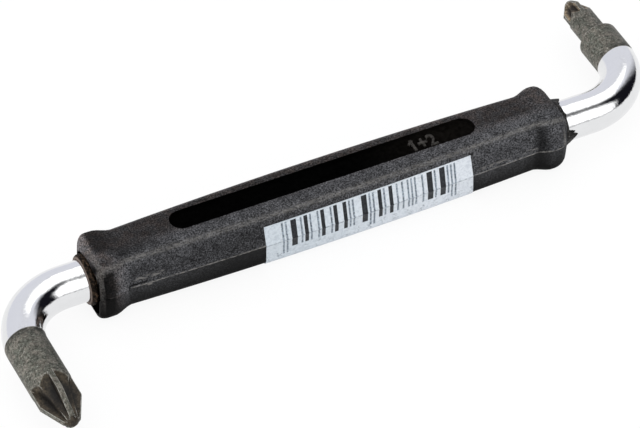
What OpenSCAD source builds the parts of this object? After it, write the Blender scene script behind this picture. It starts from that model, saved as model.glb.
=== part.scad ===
// Offset screwdriver: one round steel bar bent into a Z, a cross point ground on each end,
// a black handle moulded round the middle and a barcode sticker on its side.
// The bar runs along X. The large point's leg turns towards -Y and the small point's towards +Y.
// The tool lies flat: its underside is at z = 0 and the middle of its outline is at x = 0, y = 0.

/* [Bar] */
// Diameter of the round bar and of the large point's blade
bar_d = 6; // [5:0.1:6.4]
// Distance between the centre lines of the two legs
leg_span = 99; // [96:1:140]
// Centre-line radius of both bends
bend_r = 9; // [8:0.5:10]
// How far out along each leg the chrome plating ends, from the bar's centre line
plated_reach = 7.8; // [6:0.1:7.9]

/* [Large point] */
// Reach of the large point, from the bar's centre line to its tip
pz2_reach = 24.5; // [23:0.1:32]
// Length of the ground cone
pz2_cone_l = 3.7; // [3:0.1:5]
// Diameter where the cone ends and the blunt nose begins
pz2_tip_d = 2.6; // [1.8:0.1:3]
// Length of the nose
pz2_nose_l = 0.7; // [0.3:0.05:1]
// Diameter of the nose's flat end
pz2_nose_d = 0.9; // [0.5:0.1:1.4]
// Thickness of each of the four wings
pz2_wing_t = 0.75; // [0.4:0.05:1]
// Length of the flutes between the wings, from the tip
pz2_flute_l = 7.8; // [6.4:0.1:9]
// Width of the square core at the tip
pz2_core_w = 1.4; // [1:0.1:1.6]
// Taper of the core's faces
pz2_core_taper = 10.5; // [8:0.5:12]

/* [Small point] */
// Reach of the small point, from the bar's centre line to its tip
pz1_reach = 22.6; // [21:0.1:30]
// Length turned down to the thin shank, tip included
pz1_shank_l = 9; // [7:0.1:11]
// Diameter of the thin shank
pz1_shank_d = 4.1; // [3.6:0.1:4.8]
// Length of the ground cone
pz1_cone_l = 2; // [1.6:0.1:4]
// Diameter where the cone ends and the blunt nose begins
pz1_tip_d = 1.6; // [1.1:0.1:2]
// Length of the nose
pz1_nose_l = 0.4; // [0.2:0.05:0.7]
// Diameter of the nose's flat end
pz1_nose_d = 0.8; // [0.4:0.1:1]
// Thickness of each of the four wings
pz1_wing_t = 0.6; // [0.3:0.05:0.8]
// Length of the flutes between the wings, from the tip
pz1_flute_l = 4.4; // [3.8:0.1:5.6]
// Width of the square core at the tip
pz1_core_w = 1.1; // [0.7:0.1:1.2]
// Taper of the core's faces
pz1_core_taper = 10; // [6:0.5:12]

/* [Handle] */
// Length between the handle's two end faces
grip_l = 72.6; // [66:0.2:74]
// Handle's middle, measured from the bar's middle
grip_shift = -1; // [-1.4:0.1:1]
// Width over the parting line, at mid length
grip_w = 9.4; // [9:0.1:12]
// Height at mid length
grip_h = 9.7; // [9.4:0.1:9.9]
// Width over the parting line at the waists beside the collars
waist_w = 8.1; // [8:0.1:9]
// Height at the waists
waist_h = 9.6; // [9:0.1:9.9]
// Width over the collars
collar_w = 9.6; // [9.4:0.1:12]
// Height over the collars, which the tool lies on
collar_h = 10; // [10:0.1:12]
// Length of each collar, from the end face to its waist
collar_l = 5.3; // [4.4:0.1:7]
// Distance from the end face to the collar's crest
crest_in = 2.6; // [2.1:0.1:3.2]
// Rounding of the handle's ends
end_r = 1.7; // [1:0.1:2]
// Rounding of the four long edges
corner_r = 1.4; // [0.8:0.1:1.8]
// Draft of the side walls, away from the parting line
wall_draft = 7; // [3:0.5:9]
// Height of the flash line along the parting line
seam_h = 0.12; // [0.05:0.01:0.2]
// Width of the flash line at its foot
seam_w = 0.3; // [0.2:0.05:0.6]

/* [Recess] */
// Length of the recess in the top face, round ends included
recess_l = 46.6; // [40:0.2:52]
// Width of the recess
recess_w = 3.7; // [3:0.1:4.6]
// How far the recess sits off the handle's middle plane, towards +Y
recess_off = 0.45; // [0:0.05:0.5]
// Depth of the recess below the middle of the top face
recess_depth = 0.65; // [0.5:0.05:0.9]
// Height of the raised size marks on the recess floor
mark_h = 0.3; // [0.1:0.05:0.4]
// Length of a mark's strokes, across the recess
mark_size = 2.3; // [1.4:0.1:2.6]
// Width of a mark's strokes
mark_stroke = 0.42; // [0.3:0.02:0.6]
// Middle of the marks, measured from the handle's middle
marks_shift = 15.2; // [10:0.2:17]

/* [Moulding flash] */
// Outside diameter of the flash lips round the bar
lip_d = 7; // [6.8:0.1:7.4]
// Length of the whole lip beside the large point's leg
lip_l = 1.3; // [0.6:0.1:2]
// Length of the torn stub at the other end
stub_l = 0.5; // [0.3:0.1:0.8]
// Length of the pointed burr on the torn end
burr_l = 1.9; // [1.2:0.1:2.6]

/* [Barcode sticker] */
// Length of the sticker
label_l = 32; // [24:0.5:40]
// Middle of the sticker, measured from the handle's middle
label_shift = 4.6; // [0:0.1:5]
// Gap between the wall's top edge and the sticker, at the sticker's left end
label_drop = 0.62; // [0.5:0.02:1.2]
// How much nearer that edge the sticker's right end is
label_rise = 0.5; // [0:0.05:0.6]
// How far the sticker runs in under the handle
label_tuck = 1.2; // [0.5:0.1:3]
// Thickness of the paper
label_t = 0.1; // [0.05:0.01:0.15]

/* [Hidden] */
$fn = 64;
// Overrun of every cutter past the face that it cuts
cut_over = 1;
// Radii and half lengths that several pieces share
bar_r = bar_d / 2;
leg_x = leg_span / 2;
grip_end = grip_l / 2;
waist_x = grip_end - collar_l;
crest_x = grip_end - crest_in;
round_x = grip_end - end_r;
recess_floor = grip_h / 2 - recess_depth;
// Flutes run out along a grinding wheel of this radius, as a share of the blade's diameter
wheel_share = 0.85;
// Crimped wings that key the bar into the moulding: length, span and thickness
key_l = 1.8 * bar_d;
key_span = 1.2 * bar_d;
key_t = bar_d / 3;
// Both crimps stand this far from the handle's middle
key_x = grip_l / 5;
// Chamfer on the small point's shoulder
edge_break = bar_d / 24;
// Largest radius of the long edges, as a share of the half width
edge_share = 0.92;
// Proportions of the raised marks, as shares of their height
plus_share = 0.55;
bowl_share = 0.3;
spread_share = 0.75;
flag_share = 0.42;
// Slope of the flag on the figure one
flag_tilt = 35;
// Foot of the burr above and below the parting plane, as shares of the bar's radius
burr_over_share = 0.35;
burr_under_share = 0.65;
// Facets along and round the handle
belly_steps = 6;
label_steps = 8;
collar_steps = 6;
round_steps = 5;
corner_steps = 5;
// Facets of the arc in the figure two
arc_steps = 8;

// Smooth step from 0 to 1
function ease(t) = t * t * (3 - 2 * t);

// A value held between 0 and 1
function held(t) = max(0, min(1, t));

// Belly of the handle: 1 at mid length, 0 from the waists outwards
function belly(x) = max(0, 1 - pow(x / waist_x, 2));

// Flare of the collars: 0 inside the waists, 1 from the crests outwards
function flare(x) = ease(held((abs(x) - waist_x) / (crest_x - waist_x)));

// A size that changes along the handle, from its values at the waists, the middle and the collars
function along(x, waist, middle, collar) =
    waist + (middle - waist) * belly(x) + (collar - waist) * flare(x);

// How far the rounded ends draw the section in
function inset(x) = end_r - sqrt(max(0, pow(end_r, 2) - pow(max(0, abs(x) - round_x), 2)));

// Half width over the parting line and half height at a station
function half_w(x) = along(x, waist_w, grip_w, collar_w) / 2 - inset(x);
function half_h(x) = along(x, waist_h, grip_h, collar_h) / 2 - inset(x);

// Radius of the long edges at a station, and the centre of its upper right arc
function edge_r(x) = min(corner_r + inset(x), edge_share * half_w(x));
function edge_z(x) = half_h(x) - edge_r(x);
function edge_y(x) = half_w(x) - (edge_z(x) * sin(wall_draft) + edge_r(x)) / cos(wall_draft);

// Place on the flat side wall at height z, as [y, z]
function wall_at(x, z) = [half_w(x) - z * tan(wall_draft), z];

// Height where the flat side wall meets the rounded edge
function wall_top(x) = edge_z(x) + edge_r(x) * sin(wall_draft);

// Upper right quarter of a section, from the flash line's crest to the top face
function quarter(x) = concat(
    [[half_w(x) + seam_h, 0], wall_at(x, seam_w / 2)],
    [for (i = [0 : corner_steps])
        let (a = wall_draft + (90 - wall_draft) * i / corner_steps)
        [edge_y(x) + edge_r(x) * cos(a), edge_z(x) + edge_r(x) * sin(a)]]
);

function backwards(list) = [for (i = [len(list) - 1 : -1 : 0]) list[i]];

// A whole section as a ring of [x, y, z] points
function section(x) =
    let (q = quarter(x), n = len(q))
    let (upper = concat(q, backwards([for (p = q) [-p[0], p[1]]])))
    let (lower = [for (i = [1 : len(upper) - 2]) [-upper[i][0], -upper[i][1]]])
    [for (p = concat(upper, lower)) [x, p[0], p[1]]];

// Stations along the handle, with the sticker's two ends among them
label_from = label_shift - label_l / 2;
label_to = label_shift + label_l / 2;
end_stations = concat(
    [for (i = [0 : collar_steps]) waist_x + (crest_x - waist_x) * i / collar_steps],
    [for (i = [0 : round_steps]) round_x + end_r * sin(90 * i / round_steps)]
);
label_stations = [for (i = [0 : label_steps]) label_from + label_l * i / label_steps];
stations = concat(
    backwards([for (x = end_stations) -x]),
    [for (i = [1 : belly_steps - 1]) -waist_x + (label_from + waist_x) * i / belly_steps],
    label_stations,
    [for (i = [1 : belly_steps - 1]) label_to + (waist_x - label_to) * i / belly_steps],
    end_stations
);

// A closed skin over rings of equal length, each ring turning from +Y towards +Z
module ring_skin(rings) {
    n = len(rings[0]);
    last = len(rings) - 1;
    points = [for (ring = rings) for (p = ring) p];
    sides = [for (i = [0 : last - 1]) for (j = [0 : n - 1])
        let (a = i * n + j, b = i * n + (j + 1) % n)
        each [[a, b + n, b], [a, a + n, b + n]]];
    near_end = [for (j = [1 : n - 2]) [0, j, j + 1]];
    far_end = [for (j = [1 : n - 2]) [last * n, last * n + j + 1, last * n + j]];
    polyhedron(points = points, faces = concat(near_end, sides, far_end), convexity = 6);
}

// Moves the bar's frame to the frame of the lying tool
module lay_flat() {
    translate([0, (pz2_reach - pz1_reach) / 2, collar_h / 2])
        children();
}

// One 90 degree bend, towards -Y on the large point's side (-1), towards +Y on the other (1)
module bend(side) {
    translate([side * (leg_x - bend_r), side * bend_r, 0])
        rotate([0, 0, -90 * side])
            rotate_extrude(angle = 90)
                translate([bend_r, 0])
                    circle(r = bar_r);
}

// The block that holds everything of a leg past the plating's end
module past_plating(side) {
    reach = max(pz1_reach, pz2_reach) + cut_over;
    translate([side * leg_x - bar_d, side > 0 ? plated_reach : -reach, -bar_d])
        cube([2 * bar_d, reach - plated_reach, 2 * bar_d]);
}

// Stands a blade built along +Z on the end of a bend
module on_leg(side) {
    translate([side * leg_x, side * bend_r, 0])
        rotate([-90 * side, 0, 0])
            children();
}

// Crimped wings of the bar inside the moulding
module keys() {
    for (side = [-1, 1])
        translate([grip_shift + side * key_x, 0, 0])
            cube([key_l, key_span, key_t], center = true);
}

// Chrome plated bar: straight middle, two bends, cut where the plating ends
module shaft() {
    color("silver")
        lay_flat() {
            difference() {
                union() {
                    translate([bend_r - leg_x, 0, 0])
                        rotate([0, 90, 0])
                            cylinder(r = bar_r, h = leg_span - 2 * bend_r);
                    bend(-1);
                    bend(1);
                    keys();
                }
                past_plating(-1);
                past_plating(1);
            }
        }
}

// Half width of the square core at a distance back from the tip
function core_at(core_w, taper, back) = core_w / 2 + back * tan(taper);

// Distance back from the tip where the core's straight taper turns into the wheel's run-out
function runout_back(d, core_w, taper, flute_l) =
    let (wheel_r = wheel_share * d, k = tan(taper))
    let (out = core_w / 2 + wheel_r * cos(taper) - d / 2, up = flute_l + wheel_r * sin(taper))
    (up - out * k - sqrt(pow(up - out * k, 2) - (1 + k * k) * (up * up + out * out - wheel_r * wheel_r)))
        / (1 + k * k);

// Ground profile of one flute: x is the distance from the axis, y the height above the tip
module flute_profile(d, core_w, taper, flute_l) {
    wheel_r = wheel_share * d;
    back = runout_back(d, core_w, taper, flute_l);
    foot = core_at(core_w, taper, back);
    wheel_x = foot + wheel_r * cos(taper);
    wheel_y = wheel_r * sin(taper) - back;
    polygon([
        [foot, -back],
        [core_at(core_w, taper, -cut_over), cut_over],
        [wheel_x, cut_over],
        [wheel_x, wheel_y]
    ]);
    translate([wheel_x, wheel_y])
        circle(r = wheel_r);
}

// The two cuts of one quadrant, one beside each wing, which leave a square core between them
module quadrant_cuts(d, wing_t, core_w, taper, flute_l) {
    for (swap = [0, 1])
        mirror([swap, -swap, 0])
            translate([0, d, 0])
                rotate([90, 0, 0])
                    linear_extrude(height = d - wing_t / 2)
                        flute_profile(d, core_w, taper, flute_l);
}

// A cross point along +Z: plain blade, ground cone, blunt nose, four wings with flutes between them
module cross_point(length, d, cone_l, tip_d, nose_l, nose_d, wing_t, core_w, taper, flute_l) {
    cone_at = length - nose_l - cone_l;
    difference() {
        union() {
            cylinder(d = d, h = cone_at);
            translate([0, 0, cone_at])
                cylinder(d1 = d, d2 = tip_d, h = cone_l);
            translate([0, 0, cone_at + cone_l])
                cylinder(d1 = tip_d, d2 = nose_d, h = nose_l);
        }
        for (turn = [0 : 90 : 270])
            rotate([0, 0, turn])
                translate([0, 0, length])
                    quadrant_cuts(d, wing_t, core_w, taper, flute_l);
    }
}

// The unplated end of a bend, down to where the leg runs straight
module bare_bend(side) {
    intersection() {
        bend(side);
        past_plating(side);
    }
}

// Large point: unplated, as thick as the bar, with a size 2 cross ground on its end
module pz2_blade() {
    color("dimgray")
        lay_flat() {
            union() {
                bare_bend(-1);
                on_leg(-1)
                    cross_point(pz2_reach - bend_r, bar_d, pz2_cone_l, pz2_tip_d, pz2_nose_l,
                        pz2_nose_d, pz2_wing_t, pz2_core_w, pz2_core_taper, pz2_flute_l);
            }
        }
}

// Small point: unplated, turned down past a shoulder, with a size 1 cross ground on its end
module pz1_blade() {
    thick_l = pz1_reach - bend_r - pz1_shank_l;
    color("dimgray")
        lay_flat() {
            union() {
                bare_bend(1);
                on_leg(1) {
                    cylinder(d = bar_d, h = thick_l - edge_break);
                    translate([0, 0, thick_l - edge_break])
                        cylinder(d1 = bar_d, d2 = bar_d - 2 * edge_break, h = edge_break);
                    translate([0, 0, thick_l])
                        cross_point(pz1_shank_l, pz1_shank_d, pz1_cone_l, pz1_tip_d, pz1_nose_l,
                            pz1_nose_d, pz1_wing_t, pz1_core_w, pz1_core_taper, pz1_flute_l);
                }
            }
        }
}

function arc_points(r, from, to) = [for (i = [0 : arc_steps])
    let (a = from + (to - from) * i / arc_steps) [r * cos(a), r * sin(a)]];

// Raised figures 1 + 2, which name the two point sizes
module figure_one() {
    square([mark_stroke, mark_size], center = true);
    translate([0, mark_size / 2])
        rotate([0, 0, flag_tilt])
            translate([-flag_share * mark_size, -mark_stroke])
                square([flag_share * mark_size - mark_stroke / 2, mark_stroke]);
}

module figure_plus() {
    square([mark_size * plus_share, mark_stroke], center = true);
    square([mark_stroke, mark_size * plus_share], center = true);
}

module figure_two() {
    top = mark_size / 2;
    bowl_r = mark_size * bowl_share;
    bowl_at = [0, top - bowl_r];
    polygon(concat(
        [for (p = arc_points(bowl_r, 165, -45)) p + bowl_at],
        [[mark_stroke - bowl_r, mark_stroke - top], [bowl_r, mark_stroke - top], [bowl_r, -top]],
        [[-bowl_r, -top], [-bowl_r, mark_stroke - top]],
        [for (p = arc_points(bowl_r - mark_stroke, -45, 165)) p + bowl_at]
    ));
}

// Recess with round ends in the top face; the marks are left standing on its floor
module recess() {
    translate([0, recess_off, recess_floor])
        difference() {
            linear_extrude(height = recess_depth + cut_over) {
                square([recess_l - recess_w, recess_w], center = true);
                for (side = [-1, 1])
                    translate([side * (recess_l - recess_w) / 2, 0])
                        circle(d = recess_w);
            }
            translate([marks_shift, 0, -cut_over])
                linear_extrude(height = mark_h + cut_over) {
                    translate([-mark_size * spread_share, 0])
                        figure_one();
                    figure_plus();
                    translate([mark_size * spread_share, 0])
                        figure_two();
                }
        }
}

// Flash that crept out along the bar: a whole lip at one end, a torn stub and a burr at the other
module lips() {
    over = burr_over_share * bar_r;
    under = burr_under_share * bar_r;
    translate([-grip_end - lip_l, 0, 0])
        rotate([0, 90, 0])
            cylinder(d = lip_d, h = lip_l + end_r);
    translate([grip_end - end_r, 0, 0])
        rotate([0, 90, 0])
            cylinder(d = lip_d, h = stub_l + end_r);
    intersection() {
        translate([grip_end - end_r, 0, 0])
            rotate([0, 90, 0])
                cylinder(d = lip_d, h = burr_l + end_r);
        translate([grip_end, 0, 0])
            rotate([90, 0, 0])
                linear_extrude(height = lip_d)
                    polygon([
                        [-end_r, over],
                        [0, over],
                        [burr_l, 0],
                        [0, -under],
                        [-end_r, -under]
                    ]);
    }
}

// Handle: one moulding of black plastic, barrel shaped, with a soft collar at each end
module grip() {
    color([0.12, 0.12, 0.13])
        lay_flat() {
            translate([grip_shift, 0, 0])
                difference() {
                    union() {
                        ring_skin([for (x = stations) section(x)]);
                        lips();
                    }
                    translate([-grip_end - lip_l - cut_over, 0, 0])
                        rotate([0, 90, 0])
                            cylinder(r = bar_r, h = grip_l + lip_l + burr_l + 2 * cut_over);
                    translate([-grip_shift, 0, 0])
                        keys();
                    recess();
                }
        }
}

// Path of the sticker down the near side of a section: wall, flash line, wall, edge, underside
function label_path(x, off) =
    let (drop = label_drop - label_rise * (x - label_from) / label_l)
    let (out = off * cos(wall_draft), up = off * sin(wall_draft))
    let (top = wall_at(x, wall_top(x) - drop), bottom = wall_at(x, seam_w / 2))
    concat(
        [top + [out, up], bottom + [out, up]],
        [[half_w(x) + seam_h + off / cos(wall_draft), 0]],
        [[bottom[0] + out, -bottom[1] - up]],
        [for (i = [0 : corner_steps])
            let (a = wall_draft + (90 - wall_draft) * i / corner_steps, r = edge_r(x) + off)
            [edge_y(x) + r * cos(a), -edge_z(x) - r * sin(a)]],
        [[edge_y(x) - label_tuck, -half_h(x) - off]]
    );

// Barcode sticker: paper wrapped from the near side wall round the parting line and the lower edge
module barcode_label() {
    color("aliceblue")
        lay_flat() {
            translate([grip_shift, 0, 0])
                ring_skin([for (x = label_stations)
                    let (outer = label_path(x, label_t), inner = backwards(label_path(x, 0)))
                    [for (p = concat(outer, inner)) [x, -p[0], p[1]]]]);
        }
}

shaft();
pz2_blade();
pz1_blade();
grip();
barcode_label();
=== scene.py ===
import math

import bmesh
import bpy
from mathutils import Matrix, Vector


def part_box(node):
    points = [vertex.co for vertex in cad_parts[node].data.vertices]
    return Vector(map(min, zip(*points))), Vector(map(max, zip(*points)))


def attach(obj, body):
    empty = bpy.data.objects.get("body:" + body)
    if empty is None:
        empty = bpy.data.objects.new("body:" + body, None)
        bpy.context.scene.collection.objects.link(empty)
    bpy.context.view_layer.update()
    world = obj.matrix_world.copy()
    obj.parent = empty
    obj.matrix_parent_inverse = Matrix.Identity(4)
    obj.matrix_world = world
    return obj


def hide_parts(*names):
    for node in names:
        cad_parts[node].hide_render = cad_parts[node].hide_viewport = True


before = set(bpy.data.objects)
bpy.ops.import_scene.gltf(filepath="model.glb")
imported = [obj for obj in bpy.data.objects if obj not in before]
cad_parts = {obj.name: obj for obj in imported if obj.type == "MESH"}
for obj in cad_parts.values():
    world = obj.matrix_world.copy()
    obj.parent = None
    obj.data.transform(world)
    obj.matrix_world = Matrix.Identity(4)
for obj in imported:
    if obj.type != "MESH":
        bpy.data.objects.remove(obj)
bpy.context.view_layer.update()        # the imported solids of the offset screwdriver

# Studio: the tool lies flat on a white sweep inside a white light tent, which is brighter overhead
# and in front than behind, with a dim slot along the top. All of the light is soft.
MM = 0.001
shaft_low, shaft_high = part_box("shaft")
bar_axis = (shaft_low + shaft_high) / 2        # middle of the straight bar
view_azimuth = math.radians(-25.747)
view_elevation = math.radians(42.771)
view_roll = math.radians(-0.218)
view_distance = 567.438 * MM
focal_pixels = 4078.617
shift_pixels = (-11.745, -16.111)
picture_width = 640
floor_size = 6
floor_colour = (0.9, 0.9, 0.9, 1)
floor_glow = 0.9        # how much of the floor's look is plain white; the rest takes the shadow
plain_white = (1, 1, 1, 1)

to_camera = Vector((
    math.sin(view_azimuth) * math.cos(view_elevation),
    -math.cos(view_azimuth) * math.cos(view_elevation),
    math.sin(view_elevation),
))
level = Vector((0, 0, 1)).cross(to_camera).normalized()
upright = to_camera.cross(level)
right = level * math.cos(view_roll) + upright * math.sin(view_roll)
up = upright * math.cos(view_roll) - level * math.sin(view_roll)

lens = bpy.data.cameras.new("long_lens")
lens.sensor_width = 36
lens.lens = focal_pixels * lens.sensor_width / picture_width
lens.shift_x = shift_pixels[0] / picture_width
lens.shift_y = shift_pixels[1] / picture_width
lens.clip_start = 0.01
camera = bpy.data.objects.new("long_lens", lens)
bpy.context.collection.objects.link(camera)
camera.matrix_world = Matrix.Translation(bar_axis + to_camera * view_distance) @ Matrix(
    (right, up, to_camera)).transposed().to_4x4()
bpy.context.scene.camera = camera
bpy.context.scene.view_settings.view_transform = "Standard"


def deselect_all():
    """Nothing stays selected, so that the next operator acts on the new piece alone."""
    bpy.ops.object.select_all(action="DESELECT")


def math_node(tree, operation, first, second=0.0, clamp=False):
    """Adds a Math node and returns its output."""
    node = tree.nodes.new("ShaderNodeMath")
    node.operation = operation
    node.use_clamp = clamp
    for socket, value in zip(node.inputs, (first, second)):
        if hasattr(value, "is_linked"):
            tree.links.new(value, socket)
        else:
            socket.default_value = value
    return node.outputs[0]


def product(tree, *factors):
    """Multiplies sockets and numbers together."""
    result = factors[0]
    for factor in factors[1:]:
        result = math_node(tree, "MULTIPLY", result, factor)
    return result


def ramp_node(tree, value, stops, interpolation="LINEAR"):
    """Adds a Color Ramp with (place, colour or grey) stops and returns its colour."""
    node = tree.nodes.new("ShaderNodeValToRGB")
    ramp = node.color_ramp
    ramp.interpolation = interpolation
    while len(ramp.elements) < len(stops):
        ramp.elements.new(0.5)
    for element, (place, colour) in zip(ramp.elements, stops):
        if isinstance(colour, (int, float)):
            colour = (colour, colour, colour)
        element.position = place
        element.color = (*colour, 1)
    tree.links.new(value, node.inputs[0])
    return node.outputs[0]


def mix_colour(tree, factor, first, second, blend="MIX"):
    """Mixes two colours, given as sockets or values, and returns the result."""
    node = tree.nodes.new("ShaderNodeMix")
    node.data_type = "RGBA"
    node.blend_type = blend
    for socket, value in ((node.inputs[0], factor), (node.inputs[6], first), (node.inputs[7], second)):
        if hasattr(value, "is_linked"):
            tree.links.new(value, socket)
        elif isinstance(value, (int, float)):
            socket.default_value = value
        else:
            socket.default_value = (*value, 1)
    return node.outputs[2]


def mix_shaders(tree, share, first, second, output):
    """Shows the first shader, and the second one by its share, at one of the tree's outputs."""
    mixed = tree.nodes.new("ShaderNodeMixShader")
    tree.links.new(share, mixed.inputs["Fac"])
    tree.links.new(first.outputs[0], mixed.inputs[1])
    tree.links.new(second.outputs[0], mixed.inputs[2])
    tree.links.new(mixed.outputs[0], tree.nodes[output].inputs["Surface"])


deselect_all()
bpy.ops.mesh.primitive_plane_add(size=floor_size, location=(0, 0, 0))
floor = bpy.context.object
floor.name = "floor"
sweep = bpy.data.materials.new("white_sweep")
sweep.use_nodes = True
tree = sweep.node_tree
tree.nodes.remove(tree.nodes["Principled BSDF"])
paper = tree.nodes.new("ShaderNodeBsdfDiffuse")
paper.inputs["Color"].default_value = floor_colour
glow = tree.nodes.new("ShaderNodeEmission")
glow.inputs["Color"].default_value = plain_white
glow.inputs["Strength"].default_value = 1.0
ray = tree.nodes.new("ShaderNodeLightPath").outputs
seen = math_node(tree, "MAXIMUM", ray["Is Camera Ray"], math_node(
    tree, "MAXIMUM", ray["Is Glossy Ray"], ray["Is Transmission Ray"]))
mix_shaders(tree, product(tree, seen, floor_glow), paper, glow, "Material Output")
floor.data.materials.append(sweep)

# The tent's walls, by the angle from the back horizon (0) over the top (90) to the front (180)
tent_panels = (
    (0, (0.83, 0.84, 0.91)),
    (47.5, (0.85, 0.86, 0.92)),
    (49.5, (0.45, 0.45, 0.48)),
    (51.5, (1.6, 1.6, 1.6)),
    (171.5, (1.6, 1.6, 1.6)),
    (175, (0.35, 0.35, 0.35)),
    (177, (0.35, 0.35, 0.35)),
    (180, (1.25, 1.25, 1.25)),
)
brightest = 2.0
# The slot widens and darkens towards the tent's open end, at +X, where it is dark from floor to roof.
# Each stop is a share of the way to that end, and how wide or how dark the slot is there.
slot_angle = math.radians(112)
slot_widths = ((0.0, 0.06), (0.32, 0.25), (0.5, 0.26), (0.66, 0.34), (0.8, 0.6))
slot_depths = ((0.0, 0), (0.3, 0.82), (0.6, 1))
slot_sides = ((0.3, 1), (0.95, 0))
slot_black = (0.004, 0.004, 0.006)
roof_grey = (0.42, 0.425, 0.455)
world = bpy.data.worlds.new("light_tent")
bpy.context.scene.world = world
world.use_nodes = True
tree = world.node_tree
sky = tree.nodes["Background"]
direction = tree.nodes.new("ShaderNodeTexCoord").outputs["Generated"]
parts = tree.nodes.new("ShaderNodeSeparateXYZ")
tree.links.new(direction, parts.inputs[0])
sideways = parts.outputs["X"]
turn = math_node(tree, "DIVIDE", math_node(tree, "ARCTAN2", parts.outputs["Z"], parts.outputs["Y"]),
                 math.pi, clamp=True)
panels = ramp_node(tree, turn, [
    (degrees / 180, [value / brightest for value in colour]) for degrees, colour in tent_panels])
off_slot = tree.nodes.new("ShaderNodeVectorMath")
off_slot.operation = "DOT_PRODUCT"
tree.links.new(direction, off_slot.inputs[0])
off_slot.inputs[1].default_value = (0, -math.sin(slot_angle), math.cos(slot_angle))
across = math_node(tree, "DIVIDE", math_node(tree, "ABSOLUTE", off_slot.outputs["Value"]),
                   ramp_node(tree, sideways, slot_widths))
slot = product(tree, ramp_node(tree, across, slot_sides, "EASE"), ramp_node(tree, sideways, slot_depths))
open_end = product(tree, ramp_node(tree, sideways, ((0.7, 0), (0.8, 1))),
                   ramp_node(tree, turn, ((0.5, 0), (0.53, 1))))
roof_end = product(tree, ramp_node(tree, sideways, ((0.65, 0), (0.67, 1))),
                   ramp_node(tree, turn, ((0.5, 1), (0.52, 0))))
panels = mix_colour(tree, roof_end, panels, roof_grey)
tent = mix_colour(tree, math_node(tree, "MAXIMUM", slot, open_end), panels, slot_black)
tree.links.new(tent, sky.inputs["Color"])
sky.inputs["Strength"].default_value = brightest
white = tree.nodes.new("ShaderNodeBackground")
white.inputs["Color"].default_value = plain_white
white.inputs["Strength"].default_value = 1.0
ray = tree.nodes.new("ShaderNodeLightPath").outputs
mix_shaders(tree, ray["Is Camera Ray"], sky, white, "World Output")

# Bar: one round steel bar of 6 mm, bent cold by 90 degrees at each end and chrome plated up to just
# short of where its legs run straight. The middle is hidden in the handle.
bar_d = 6 * MM
bar_r = bar_d / 2
leg_x = 49.5 * MM
bend_r = 9 * MM
plated_reach = 7.8 * MM
around_bar = 96
bend_steps = 40
chrome_colour = (0.8, 0.805, 0.815)
chrome_hazy = [0.93 * value for value in chrome_colour]
across_x = (0, math.pi / 2, 0)
close = 1e-6        # a point this near to a place, in metres, is at that place
weld = 1e-7         # points this near to each other, in metres, are one


def pick(kind, wanted):
    """In edit mode, selects only the verts, edges or faces whose middle passes the test."""
    bpy.ops.mesh.select_mode(type={"verts": "VERT", "edges": "EDGE", "faces": "FACE"}[kind])
    bpy.ops.mesh.select_all(action="DESELECT")
    mesh = bmesh.from_edit_mesh(bpy.context.object.data)
    for item in getattr(mesh, kind):
        if kind == "verts":
            middle = item.co
        else:
            middle = sum((corner.co for corner in item.verts), Vector()) / len(item.verts)
        if wanted(middle):
            item.select_set(True)
    mesh.select_flush_mode()
    bmesh.update_edit_mesh(bpy.context.object.data)


def start_ring(name, vertices, radius, centre, turn):
    """Adds a ring of edges, turned to stand across the bar, all of it selected in edit mode."""
    deselect_all()
    bpy.ops.mesh.primitive_circle_add(vertices=vertices, radius=radius, rotation=turn, location=centre)
    ring = bpy.context.object
    ring.name = ring.data.name = name
    bpy.ops.object.transform_apply(location=True, rotation=True, scale=True)
    bpy.ops.object.mode_set(mode="EDIT")
    pick("verts", lambda co: True)
    return ring


def move_out(vector):
    """Extrudes what is selected in edit mode."""
    bpy.ops.mesh.extrude_region_move(TRANSFORM_OT_translate={"value": vector})


def cut_off(point, outward):
    """Cuts away what is selected beyond a plane and closes the cut."""
    bpy.ops.mesh.bisect(plane_co=point, plane_no=outward, use_fill=True, clear_outer=True,
                        threshold=weld)


def finish_mesh(smooth_angle=35):
    """Merges doubles, turns the faces outwards, leaves edit mode and shades the piece smooth."""
    bpy.ops.mesh.select_all(action="SELECT")
    bpy.ops.mesh.remove_doubles(threshold=weld)
    bpy.ops.mesh.normals_make_consistent(inside=False)
    bpy.ops.object.mode_set(mode="OBJECT")
    bpy.ops.object.transform_apply(location=True, rotation=True, scale=True)
    bpy.ops.object.shade_smooth_by_angle(angle=math.radians(smooth_angle))
    return bpy.context.object


def new_material(name):
    """A material with its Principled shader and the Object coordinates that its patterns follow."""
    material = bpy.data.materials.new(name)
    material.use_nodes = True
    tree = material.node_tree
    coords = tree.nodes.new("ShaderNodeTexCoord").outputs["Object"]
    return material, tree, tree.nodes["Principled BSDF"], coords


def noise_node(tree, coords, per_mm, detail=2, roughness=0.5, distortion=0.0):
    """Adds a Noise Texture whose features are about 1/per_mm millimetres wide."""
    node = tree.nodes.new("ShaderNodeTexNoise")
    tree.links.new(coords, node.inputs["Vector"])
    node.inputs["Scale"].default_value = per_mm / MM
    node.inputs["Detail"].default_value = detail
    node.inputs["Roughness"].default_value = roughness
    node.inputs["Distortion"].default_value = distortion
    return node.outputs["Fac"]


def bump_node(tree, height, depth_mm, shader, previous=None):
    """Adds a Bump node of that depth to a shader and returns its output."""
    node = tree.nodes.new("ShaderNodeBump")
    node.inputs["Strength"].default_value = 1.0
    node.inputs["Distance"].default_value = depth_mm * MM
    tree.links.new(height, node.inputs["Height"])
    if previous is not None:
        tree.links.new(previous, node.inputs["Normal"])
    tree.links.new(node.outputs[0], shader.inputs["Normal"])
    return node.outputs[0]


def stretched(tree, coords, scale):
    """Coordinates scaled per axis, for a pattern that is longer one way than another."""
    node = tree.nodes.new("ShaderNodeMapping")
    tree.links.new(coords, node.inputs["Vector"])
    node.inputs["Scale"].default_value = scale
    return node.outputs[0]


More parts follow.
